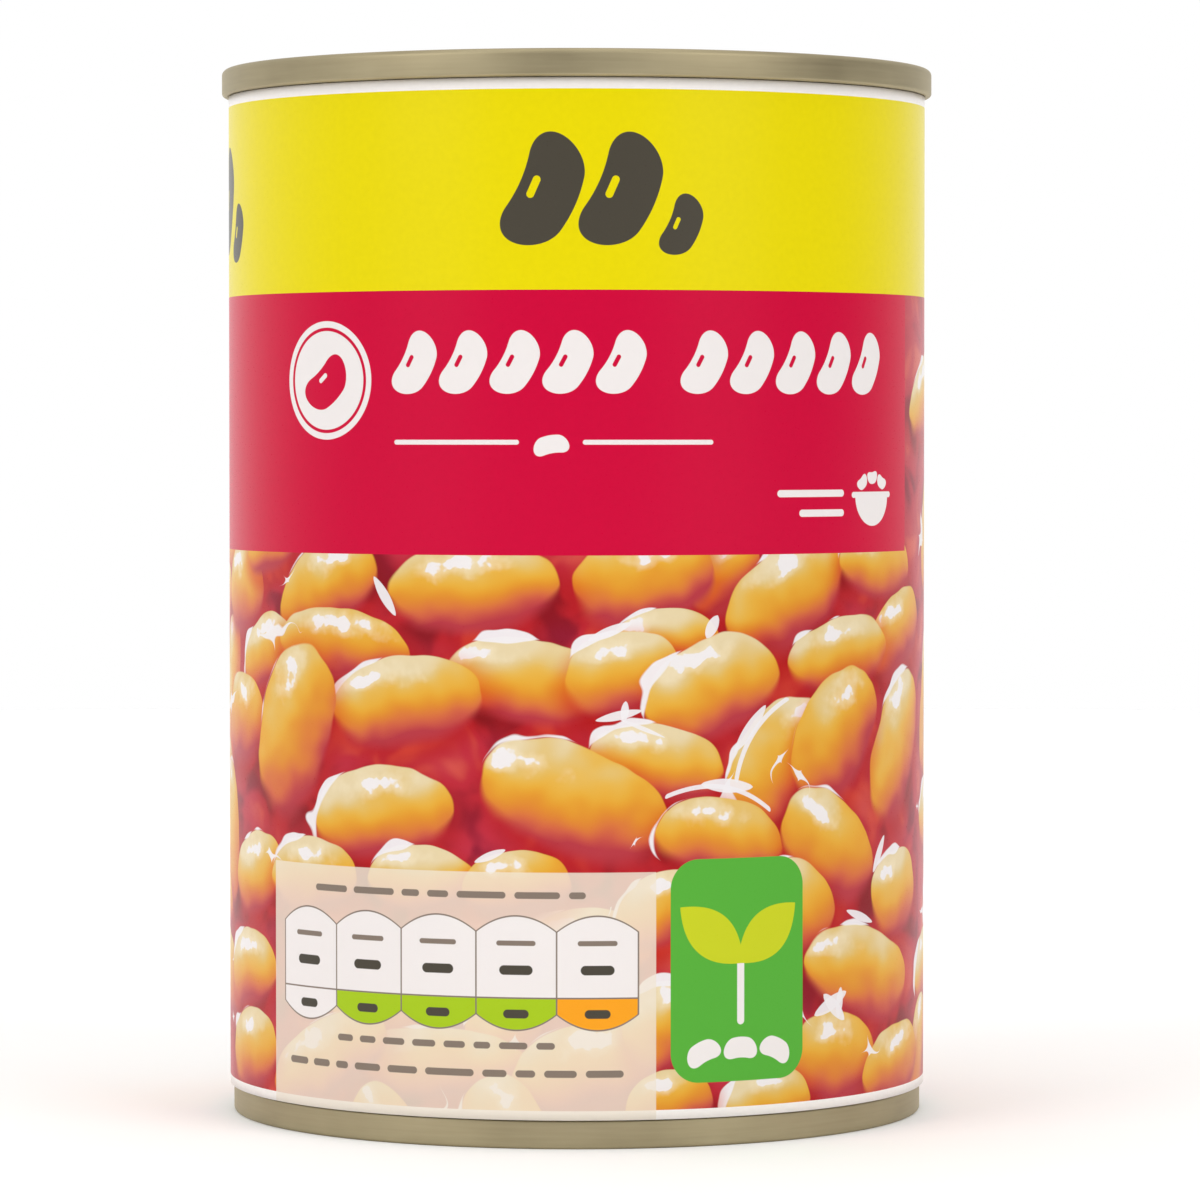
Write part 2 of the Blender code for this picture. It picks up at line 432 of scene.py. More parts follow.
# The flat sheet, with its fields of colour and its print map.
shape = bmesh.new()
bmesh.ops.create_grid(shape, x_segments=CELLS_AROUND, y_segments=row_count, size=0.5)
for vert in shape.verts:
    column = round((vert.co.x + 0.5) * CELLS_AROUND)
    row = round((vert.co.y + 0.5) * row_count)
    vert.co = (sheet_left + column * cell_deg * MM_PER_DEG, 0.0, row_heights[row])
bmesh.ops.recalc_face_normals(shape, faces=shape.faces)
print_map = shape.loops.layers.uv.new("print")
for face in shape.faces:
    face.smooth = True
    if face.normal.y > 0:
        face.normal_flip()
    middle = face.calc_center_median()
    if not PICTURE_FOOT_MM < middle.z < YELLOW_TOP_MM:
        face.material_index = MARGIN
    elif middle.z > CRIMSON_TOP_MM:
        face.material_index = YELLOW
    elif middle.z > PICTURE_TOP_MM and crimson_left < middle.x < crimson_right:
        face.material_index = CRIMSON
    else:
        face.material_index = PICTURE
    for loop in face.loops:
        loop[print_map].uv = (loop.vert.co.x, loop.vert.co.z)

# Rolled round the can: the free edge lies a paper's thickness higher over the sheet's other edge.
for vert in shape.verts:
    angle_deg = vert.co.x / MM_PER_DEG
    past_lap = (angle_deg - FREE_EDGE_DEG - LAP_DEG) / LAP_RAMP_DEG
    drop = min(max(past_lap, 0.0), 1.0)
    radius = label_r + LAP_RISE_MM * (1 - drop * drop * (3 - 2 * drop))
    angle = math.radians(angle_deg)
    vert.co = Vector((radius * math.sin(angle), -radius * math.cos(angle), vert.co.z)) * MM
label_mesh = bpy.data.meshes.new("label_sheet")
shape.to_mesh(label_mesh)
shape.free()

corners = np.empty(len(label_mesh.loops) * 2, np.float32)
label_mesh.uv_layers["print"].data.foreach_get("uv", corners)
corners = corners.reshape(-1, 4, 2)
centres = corners.mean(axis=1)
fields = np.empty(len(label_mesh.polygons), np.int32)
label_mesh.polygons.foreach_get("material_index", fields)


def from_middle(x, z, turn):
    """How far each cell's corners lie from a printed shape's middle, along it and across it."""
    along = np.array([math.cos(turn), math.sin(turn)])
    across = np.array([-along[1], along[0]])
    offset = corners - np.array([x, z])
    return offset @ along, offset @ across


def keep_on_sheet(name, kind, domain, values):
    """Keeps one layer's numbers as an attribute of the sheet."""
    channel = "color" if kind == "FLOAT_COLOR" else "vector"
    label_mesh.attributes.new(name, kind, domain).data.foreach_set(channel, values.ravel())


# Label: the picture's beans
# The picture is baked beans in tomato sauce, seen close. Each printed bean is a plump oval with its
# own place, turn and size. On the front they are set one by one, and under the pale panel and round
# the can they come from a seeded rule, in rows that overlap downwards.
BEAN_SEED = 11
BEAN_ROW_MM = 7.5
BEAN_PITCH_MM = 15.2
BEAN_OVERHANG_MM = 8.0
FIRST_ROW_MM = CRIMSON_TOP_MM + 3.0
LAST_ROW_MM = PICTURE_FOOT_MM - 6.0
UPRIGHT_SHARE = 0.26
UPRIGHT_TURN_DEG = (58, 118)
LYING_TURN_DEG = 4
LYING_SPREAD_DEG = 19
ACROSS_SLACK_MM = 2.4
UP_SLACK_MM = 1.9
HALF_LENGTHS_MM = (6.4, 9.6)
HALF_WIDTHS_MM = (3.9, 5.2)
LEFT_OUT_SHARE = 0.06
MOST_BEANS_ON_A_CELL = 6
NO_BEAN = 9.0
# A bean with its shadow and its films of sauce reaches this many of its own half sizes.
BEAN_REACH = 1.5
BEAN_REACH_SLACK = 0.3
# Middle, half sizes and turn in degrees of each bean on the front, from the back to the front.
FRONT_BEANS_MM = (
    (-45.5, 55.4, 6.2, 5.3, 0),
    (-38.5, 60.0, 5.4, 3.2, 10),
    (-28.5, 55.7, 7.9, 4.8, 28),
    (15.2, 57.2, 4.8, 3.4, 60),
    (6.8, 56.7, 7.5, 5.2, 14),
    (-10.8, 55.9, 9.5, 4.7, 4),
    (23.0, 55.0, 8.6, 5.4, 36),
    (37.2, 58.2, 7.5, 3.8, -4),
    (-39.0, 49.2, 6.2, 3.8, 20),
    (-26.5, 50.0, 9.3, 4.0, -4),
    (9.0, 51.0, 5.8, 3.2, 4),
    (-5.0, 46.7, 8.6, 4.6, -8),
    (4.6, 47.6, 6.2, 4.3, 12),
    (41.5, 50.6, 7.0, 4.6, 24),
    (30.6, 49.0, 7.9, 4.1, 8),
    (14.0, 46.0, 8.0, 5.2, 24),
    (-45.5, 41.8, 6.5, 5.2, 0),
    (-18.4, 44.6, 9.0, 4.8, 8),
    (-33.8, 40.9, 9.7, 6.3, 70),
    (8.4, 38.6, 7.2, 4.0, -12),
    (21.0, 38.2, 8.4, 4.6, 56),
    (41.4, 39.0, 8.9, 5.2, 62),
    (29.6, 40.6, 8.1, 5.6, 56),
    (-0.1, 34.6, 10.3, 5.7, -22),
    (-21.4, 33.3, 8.8, 5.0, 8),
    (15.2, 31.0, 7.4, 4.2, -12),
    (28.8, 29.4, 7.8, 5.1, -36),
    (-41.8, 25.9, 6.5, 4.4, 16),
    (-30.6, 26.4, 6.9, 4.2, 0),
    (-16.5, 26.8, 6.2, 3.6, 0),
    (-6.2, 26.2, 5.7, 3.8, 4),
    (8.6, 24.0, 5.2, 3.8, 30),
    (23.8, 23.6, 5.8, 4.8, -40),
    (41.2, 24.0, 5.9, 4.8, 8),
    (34.2, 16.1, 9.8, 5.1, -14),
    (-43.6, 15.9, 7.1, 4.4, 6),
    (8.8, 12.0, 5.2, 4.2, 70),
    (29.8, 7.6, 6.8, 5.2, -14),
    (-43.0, 7.6, 6.7, 4.6, 10),
    (41.0, 6.0, 7.3, 4.6, 10),
    (20.4, 4.2, 5.5, 3.6, 6),
    (9.4, 4.2, 4.7, 3.8, 20),
)
FRONT_REACH_MM = 47.5
UNDER_PANEL_MM = (-35.0, 5.0, 21.0)
SEED_STEP = 23
FIRST_SEED = 7

draw = random.Random(BEAN_SEED)
panel_left, panel_right, panel_top = UNDER_PANEL_MM
beans = []
height = FIRST_ROW_MM
row = 0
while height > LAST_ROW_MM:
    x = sheet_left - BEAN_OVERHANG_MM + (row % 2) * BEAN_PITCH_MM / 2
    while x < sheet_right + BEAN_OVERHANG_MM:
        upright = draw.random() < UPRIGHT_SHARE
        if upright:
            turn_deg = draw.uniform(*UPRIGHT_TURN_DEG)
        else:
            turn_deg = draw.gauss(LYING_TURN_DEG, LYING_SPREAD_DEG)
        bean = {
            "x": x + draw.uniform(-ACROSS_SLACK_MM, ACROSS_SLACK_MM),
            "z": height + draw.uniform(-UP_SLACK_MM, UP_SLACK_MM),
            "turn": math.radians(turn_deg),
            "half_length": draw.uniform(*HALF_LENGTHS_MM),
            "half_width": draw.uniform(*HALF_WIDTHS_MM),
            "seed": draw.randrange(1000),
        }
        under_panel = panel_left < bean["x"] < panel_right and bean["z"] < panel_top
        in_rule = under_panel or abs(bean["x"]) >= FRONT_REACH_MM
        if draw.random() > LEFT_OUT_SHARE and in_rule:
            beans.append(bean)
        x += BEAN_PITCH_MM
    height -= BEAN_ROW_MM
    row += 1
beans.sort(key=lambda bean: -bean["z"])
for number, (x, z, half_length, half_width, turn_deg) in enumerate(FRONT_BEANS_MM):
    bean = {"x": x, "z": z, "turn": math.radians(turn_deg), "seed": FIRST_SEED + SEED_STEP * number}
    beans.append({**bean, "half_length": half_length, "half_width": half_width})

# Every cell that a bean reaches is given the bean's own place at the cell's corners, and its form.
in_picture = fields == PICTURE
bean_count = np.zeros(len(fields), np.int32)
bean_at = np.full((MOST_BEANS_ON_A_CELL, len(fields), 4, 3), NO_BEAN, np.float32)
bean_form = np.ones((MOST_BEANS_ON_A_CELL, len(fields), 3), np.float32)
for bean in beans:
    u, v = from_middle(bean["x"], bean["z"], bean["turn"])
    u = u / bean["half_length"]
    v = v / bean["half_width"]
    near = in_picture & (np.abs(u).min(axis=1) < BEAN_REACH)
    near &= np.abs(v).min(axis=1) < BEAN_REACH + BEAN_REACH_SLACK
    near &= (u**2 + v**2).min(axis=1) < BEAN_REACH**2
    cells = np.nonzero(near)[0]
    if len(cells) == 0 or bean_count[cells].max() >= MOST_BEANS_ON_A_CELL:
        continue
    layer = bean_count[cells]
    seed = np.full(u[cells].shape, bean["seed"])
    bean_at[layer, cells] = np.stack([u[cells], v[cells], seed], axis=-1)
    bean_form[layer, cells] = (bean["turn"], bean["half_length"], bean["half_width"])
    bean_count[cells] += 1
bean_layers = bean_count.max()
for layer in range(bean_layers):
    keep_on_sheet(f"bean_at_{layer}", "FLOAT_VECTOR", "CORNER", bean_at[layer])
    keep_on_sheet(f"bean_form_{layer}", "FLOAT_VECTOR", "FACE", bean_form[layer])

# Label: printed marks
# Flat shapes in solid inks stand where a shop's can has its words: bean shapes, a roundel, a badge
# with a seedling, a row of five arched fields and bars in the place of small print. Each mark is a
# rounded box in its own turned place, which can be bent like a bean or arched like a lens.
INK_WHITE = "ECE6E4"
REFLECTION_WHITE = "ECE8EA"
INK_DARK = "4A453B"
INK_CRIMSON = "CC0038"
INK_YELLOW = "E7D600"
INK_GREEN = "55AC38"
INK_LEAF = "C6CE20"
INK_LIME = "A5C61C"
INK_ORANGE = "F5A11E"
INK_CREAM = "EADFCE"
INK_BROWN = "84766A"
SHARPEST_CORNER_MM = 0.06
MARK_MARGIN_MM = 0.12
MOST_MARKS_ON_A_CELL = 12
NO_MARK_MM = 999.0
NO_MARK_FORM_MM = 0.05
marks = []


def mark(
    x, z, half_width, half_height, ink, radius=0.0, turn_deg=0.0, curve=0.0, cover=1.0, rows=None
):
    """Adds a mark, in mm. A positive curve bends it and a negative one arches both its long sides.
    rows keeps it between two heights, which are lines of the sheet's cells."""
    corner = min(max(radius, SHARPEST_CORNER_MM), half_width, half_height)
    marks.append(
        {
            "x": x,
            "z": z,
            "turn": math.radians(turn_deg),
            "half_width": half_width,
            "half_height": half_height,
            "form": (half_width - corner, half_height - corner, corner),
            "curve": curve,
            "ink": (*linear(ink)[:3], cover),
            "rows": rows,
        }
    )


def rule(x, z, half_width, half_height, ink):
    """Adds a bar with round ends."""
    mark(x, z, half_width, half_height, ink, half_height)


BEAN_MARK_BEND = 0.42
EYE_PLACE = 0.52
EYE_LENGTH = 0.2
EYE_WIDTH = 0.13


def bean_mark(x, z, half_length, half_width, ink, turn_deg, eye_ink=None):
    """The plain outline of a bean in one ink, and the small eye in its hollow side in another."""
    bend_by = BEAN_MARK_BEND * half_width / half_length**2
    mark(x, z, half_length, half_width, ink, half_width, turn_deg, bend_by)
    if eye_ink:
        across = math.radians(turn_deg + 90)
        eye_x = x + EYE_PLACE * half_width * math.cos(across)
        eye_z = z + EYE_PLACE * half_width * math.sin(across)
        eye_length = EYE_LENGTH * half_length
        eye_width = EYE_WIDTH * half_width
        mark(eye_x, eye_z, eye_length, eye_width, eye_ink, eye_width, turn_deg)


SHORTEST_LINE_MM = 1.0
BAR_LENGTHS_MM = (1.6, 5.4)
BAR_SPACE_MM = 0.9


def small_print(left, right, z, half_height, ink):
    """Bars of uneven length in the place of a line of words."""
    x = left
    while x < right - SHORTEST_LINE_MM:
        width = min(draw.uniform(*BAR_LENGTHS_MM), right - x)
        rule(x + width / 2, z, width / 2, half_height, ink)
        x += width + BAR_SPACE_MM


# The big mark in the yellow band, four times round the can: two tall leaning beans and a small one.
BIG_MARKS_DEG = (-180.0, -90.0, 0.0, 100.0)
BIG_MARK_LEAN_DEG = 66
BIG_MARK_BEANS_MM = ((-2.9, 95.6, 5.9, 3.0), (5.0, 95.6, 5.9, 3.0), (10.9, 92.3, 3.2, 1.65))
for angle_deg in BIG_MARKS_DEG:
    middle = angle_deg * MM_PER_DEG
    for x, *place in BIG_MARK_BEANS_MM:
        bean_mark(middle + x, *place, INK_DARK, BIG_MARK_LEAN_DEG, INK_YELLOW)

# The white row in the crimson band: two groups of five beans, over a rule with a small bean in it.
ROW_STARTS_MM = (-16.6, 13.4)
ROW_PITCH_MM = 5.35
ROW_HEIGHT_MM = 78.5
ROW_BEAN_MM = (3.35, 1.75)
ROW_LEAN_DEG = 62
for number in range(5):
    for start in ROW_STARTS_MM:
        x = start + ROW_PITCH_MM * number
        bean_mark(x, ROW_HEIGHT_MM, *ROW_BEAN_MM, INK_WHITE, ROW_LEAN_DEG, INK_CRIMSON)
LONG_RULE_MM = (6.7, 0.24)
rule(-12.5, 70.8, *LONG_RULE_MM, INK_WHITE)
bean_mark(-2.6, 70.6, 1.8, 0.9, INK_WHITE, 190)
rule(7.3, 70.8, *LONG_RULE_MM, INK_WHITE)

# The roundel on the left: a white disc with a crimson ring and one bean.
ROUNDEL_MIDDLE_MM = (-28.0, 77.05)
for radius, ink in ((6.0, INK_WHITE), (5.35, INK_CRIMSON), (5.0, INK_WHITE)):
    mark(*ROUNDEL_MIDDLE_MM, radius, radius, ink, radius)
bean_mark(-27.9, 76.5, 3.3, 1.9, INK_CRIMSON, 38, INK_WHITE)

# A bowl of beans in the crimson band's lower right corner, with two short rules.
rule(26.0, 65.6, 4.6, 0.36, INK_WHITE)
rule(27.4, 63.6, 3.2, 0.36, INK_WHITE)
BOWL_X_MM = 35.6
BOWL_RADIUS_MM = 3.1
mark(BOWL_X_MM, 65.3, BOWL_RADIUS_MM, BOWL_RADIUS_MM, INK_WHITE, BOWL_RADIUS_MM)
mark(BOWL_X_MM, 67.2, 3.6, 1.7, INK_CRIMSON)
rule(BOWL_X_MM, 65.4, 3.7, 0.3, INK_WHITE)
for x, z, turn_deg in ((33.8, 66.6, 35), (35.6, 67.1, 5), (37.4, 66.6, -25)):
    bean_mark(x, z, 0.95, 0.6, INK_WHITE, turn_deg)

# The window's brightest reflections in the sauce between the front beans: pointed white slivers, and
# two thin bent ones.
GLINT_COVER = 0.9
GLINTS_MM = (
    (-20.4, 55.3, 2.6, 0.55, -56),
    (3.3, 51.9, 2.6, 0.5, 22),
    (13.9, 52.3, 1.5, 0.6, 62),
    (4.2, 43.5, 2.6, 0.45, 12),
    (4.8, 43.9, 1.2, 0.4, 84),
    (6.6, 42.2, 2.6, 0.22, -22),
    (18.2, 42.0, 3.2, 0.62, 52),
    (15.6, 36.3, 3.2, 0.7, -4),
    (-8.8, 29.4, 1.9, 0.4, 22),
    (37.0, 28.4, 2.4, 0.5, 58),
    (33.4, 22.2, 2.6, 0.45, -18),
    (28.7, 13.6, 2.9, 0.7, 24),
    (29.2, 13.2, 2.4, 0.7, -42),
    (30.0, 13.6, 1.8, 0.5, 82),
)
BENT_GLINTS_MM = ((18.6, 41.6, 5.2, 0.26, 233, 0.05), (15.0, 36.2, 5.9, 0.24, 172, 0.05))
for x, z, half_length, half_width, turn_deg in GLINTS_MM:
    pointed = -half_width / half_length**2
    mark(x, z, half_length, half_width, REFLECTION_WHITE, half_width, turn_deg, pointed, GLINT_COVER)
for x, z, half_length, half_width, turn_deg, curve in BENT_GLINTS_MM:
    mark(x, z, half_length, half_width, REFLECTION_WHITE, half_width, turn_deg, curve, GLINT_COVER)

# The pale panel: thin cream ink over the picture, with five arched fields and small print.
PANEL_LEFT_MM = -36.8
PANEL_RIGHT_MM = 8.0
PANEL_TOP_MM = 27.8
PANEL_COVER = 0.74
mark(
    (PANEL_LEFT_MM + PANEL_RIGHT_MM) / 2,
    (PANEL_TOP_MM + LABEL_FOOT_MM) / 2,
    (PANEL_RIGHT_MM - PANEL_LEFT_MM) / 2,
    (PANEL_TOP_MM - LABEL_FOOT_MM) / 2,
    INK_CREAM,
    cover=PANEL_COVER,
)
FIELD_INKS = (INK_WHITE, INK_LIME, INK_LIME, INK_LIME, INK_ORANGE)
FIELD_PITCH_MM = 8.22
FIELD_FIRST_MM = -30.8
FIELD_MIDDLE_MM = 17.70
FIELD_HALF_MM = 5.82
FIELD_LINE_MM = 0.16
FIELD_ARCH = -0.095
FIELD_BARS_MM = (
    (20.7, 2.0, 0.26, INK_BROWN),
    (18.0, 1.7, 0.48, INK_DARK),
    (13.6, 1.3, 0.44, INK_DARK),
)
field_places = [FIELD_FIRST_MM + number * FIELD_PITCH_MM for number in range(len(FIELD_INKS))]
frame_half = ((FIELD_PITCH_MM + FIELD_LINE_MM) / 2, FIELD_HALF_MM)
inner_half = ((FIELD_PITCH_MM - FIELD_LINE_MM) / 2, FIELD_HALF_MM - FIELD_LINE_MM)
for x in field_places:
    mark(x, FIELD_MIDDLE_MM, *frame_half, INK_BROWN, curve=FIELD_ARCH)
for x, ink in zip(field_places, FIELD_INKS):
    above = (FIELD_SPLIT_MM, LABEL_TOP_MM)
    below = (LABEL_FOOT_MM, FIELD_SPLIT_MM)
    mark(x, FIELD_MIDDLE_MM, *inner_half, INK_WHITE, curve=FIELD_ARCH, rows=above)
    mark(x, FIELD_MIDDLE_MM, *inner_half, ink, curve=FIELD_ARCH, rows=below)
    for bar in FIELD_BARS_MM:
        rule(x, *bar)
middle_field = field_places[len(FIELD_INKS) // 2]
half_row = len(FIELD_INKS) / 2 * FIELD_PITCH_MM
mark(middle_field, FIELD_SPLIT_MM, half_row, FIELD_LINE_MM / 2, INK_BROWN)
for line in ((-29.7, 0.9, 25.5, 0.34), (-26.5, -2.2, 10.4, 0.34), (-33.9, 4.7, 7.6, 0.36)):
    small_print(*line, INK_BROWN)

# The green badge: a seedling of two leaves on a white stem, over three white beans.
BADGE_X_MM = 17.1
LEAF_ARCH = -0.1135
mark(BADGE_X_MM, 17.75, 7.6, 11.25, INK_GREEN, 3.0)
mark(BADGE_X_MM, 15.6, 0.4, 3.4, INK_WHITE, 0.4)
for side in (-1, 1):
    leaf_x = BADGE_X_MM + 3.15 * side
    mark(leaf_x, 21.3, 4.5, 2.3, INK_LEAF, curve=LEAF_ARCH, turn_deg=40 * side)
for x, z, turn_deg in ((12.9, 9.6, 205), (17.1, 9.9, 180), (21.3, 9.6, 155)):
    bean_mark(x, z, 1.9, 1.05, INK_WHITE, turn_deg)

# The information panel at the back: cream, with lines of small print, a ruled table and a block of
# upright bars. Its making is a guess, because the photo doesn't show the back.
BACK_X_MM = -98.0
BACK_HALF_MM = 23.0
BACK_BORDER_MM = 3.0
BACK_LINES = 9
BACK_LINE_MM = 2.1
BACK_LAST_LINE_SHORT_MM = 8.0
TABLE_LINES = 8
TABLE_LINE_MM = 3.2
TABLE_TOP_MM = 51.0
PRINT_HALF_MM = 0.42
mark(BACK_X_MM, 45.0, BACK_HALF_MM, 36.0, INK_CREAM, 2.0)
back_left = BACK_X_MM - BACK_HALF_MM + BACK_BORDER_MM
back_right = BACK_X_MM + BACK_HALF_MM - BACK_BORDER_MM
rule(BACK_X_MM - 6.0, 76.6, 13.5, 0.9, INK_CRIMSON)
for line in range(BACK_LINES):
    line_end = back_right - (BACK_LAST_LINE_SHORT_MM if line == BACK_LINES - 1 else 0.0)
    small_print(back_left, line_end, 72.6 - BACK_LINE_MM * line, PRINT_HALF_MM, INK_BROWN)
for line in range(TABLE_LINES):
    height = TABLE_TOP_MM - TABLE_LINE_MM * line
    mark(BACK_X_MM, height, BACK_HALF_MM - BACK_BORDER_MM, 0.09, INK_DARK)
    if line < TABLE_LINES - 1:
        text_height = height - TABLE_LINE_MM / 2
        small_print(back_left + 0.6, back_left + 13.0, text_height, PRINT_HALF_MM, INK_BROWN)
        small_print(back_right - 7.0, back_right - 1.0, text_height, PRINT_HALF_MM, INK_BROWN)
BAR_BLOCK_HALF_MM = 12.0
HALF_BARS_MM = (0.17, 0.17, 0.34, 0.5)
BAR_GAPS_MM = (0.36, 0.36, 0.7)
x = BACK_X_MM - BAR_BLOCK_HALF_MM
while x < BACK_X_MM + BAR_BLOCK_HALF_MM:
    half_bar = draw.choice(HALF_BARS_MM)
    mark(x, 18.0, half_bar, 6.2, INK_DARK)
    x += 2 * half_bar + draw.choice(BAR_GAPS_MM)

# Every cell that a mark reaches is given the mark's own place at the cell's corners, form and ink.
mark_count = np.zeros(len(fields), np.int32)
mark_at = np.zeros((MOST_MARKS_ON_A_CELL, len(fields), 4, 3), np.float32)
mark_at[..., 0] = NO_MARK_MM
mark_form = np.full((MOST_MARKS_ON_A_CELL, len(fields), 3), NO_MARK_FORM_MM, np.float32)
mark_ink = np.zeros((MOST_MARKS_ON_A_CELL, len(fields), 4), np.float32)
for one in marks:
    u, v = from_middle(one["x"], one["z"], one["turn"])
    wide = one["half_width"] + MARK_MARGIN_MM
    tall = one["half_height"] + MARK_MARGIN_MM
    sag = max(one["curve"], 0.0) * one["half_width"] ** 2
    near = (u.min(axis=1) < wide) & (u.max(axis=1) > -wide)
    near &= (v.min(axis=1) < tall + sag) & (v.max(axis=1) > -tall)
    if one["rows"]:
        near &= (centres[:, 1] > one["rows"][0]) & (centres[:, 1] < one["rows"][1])
    cells = np.nonzero(near)[0]
    layer = mark_count[cells]
    curve = np.full(u[cells].shape, one["curve"])
    mark_at[layer, cells] = np.stack([u[cells], v[cells], curve], axis=-1)
    mark_form[layer, cells] = one["form"]
    mark_ink[layer, cells] = one["ink"]
    mark_count[cells] += 1
for layer in range(mark_count.max()):
    keep_on_sheet(f"mark_at_{layer}", "FLOAT_VECTOR", "CORNER", mark_at[layer])
    keep_on_sheet(f"mark_form_{layer}", "FLOAT_VECTOR", "FACE", mark_form[layer])
    keep_on_sheet(f"mark_ink_{layer}", "FLOAT_COLOR", "FACE", mark_ink[layer])

# Label: the picture's inks
# The picture is built up in the way it looks: sauce first, then each bean with its shadow, its warm
# shading and the white reflections of a window.
SAUCE_SWELL_MM = 6.25
SAUCE_DEEP = "8E1630"
SAUCE_RED = "BC2C40"
SAUCE_LIGHT = "D2584A"
BEAN_TONES = (
    (0.00, "AE2D40"),
    (0.16, "CA5643"),
    (0.30, "D77637"),
    (0.44, "DB8A28"),
    (0.60, "E2A32E"),
    (0.76, "E2B348"),
    (0.88, "DCBF7C"),
    (1.00, "E3D2AC"),
)
BEAN_GLOW = "F0E2C4"
BEAN_SHADE = "F08058"
PICTURE_LIGHT = (-0.22, 0.90, 0.38)
BEAN_SOFT_MM = 4.5
BEAN_FINE_MM = 1.8
# Powers of the outline's two half sizes, where 2 would be an ellipse.
PLUMP_ALONG = 2.35
PLUMP_ACROSS = 2.2
OUTLINE_WANDER = (0.20, 0.20, 0.0)
BEND_SPREAD = 0.22
LEAST_BEND = -0.02
DOME = 0.85
SHADING_RANGE = 0.70
SHADING_MIDDLE = 0.315
OWN_TONE_SPREAD = 0.22
LOWEST_OWN_TONE = -0.15
TONE_CLOUD = 0.5
WINDOW_SIDE_SPREAD = 0.55
WINDOW_LEFT = -0.46
WINDOW_UP = 0.64
WINDOW_NARROW = 5.5
WINDOW_LOW = 7.5
WINDOW_RAGGED = 4.2
CRISP_EDGE = 0.07
MELTING_EDGE = 0.6
FILM_TURN_SPREAD = 1.5
FILM_TURN = 1.65
FILM_THICKEST = 0.15
STAR_OUT_ALONG = 1.15
STAR_OUT_ACROSS = 1.2
STAR_PULL_MM = 4.5
STAR_NARROW = 0.45
SHADOW_FALL = (-0.35, 0.8, 0.0)
SHADOW_DEPTH = 0.72


def new_group(name, inputs):
    """An empty node group that lays one printed shape over the colour under it."""
    tree = bpy.data.node_groups.new(name, "ShaderNodeTree")
    for socket, kind in inputs:
        tree.interface.new_socket(socket, in_out="INPUT", socket_type="NodeSocket" + kind)
    tree.interface.new_socket("Colour", in_out="OUTPUT", socket_type="NodeSocketColor")
    return tree, tree.nodes.new("NodeGroupInput").outputs


def close_group(tree, colour):
    """Hands the group's colour out."""
    end = tree.nodes.new("NodeGroupOutput")
    tree.links.new(colour, end.inputs["Colour"])
    return tree


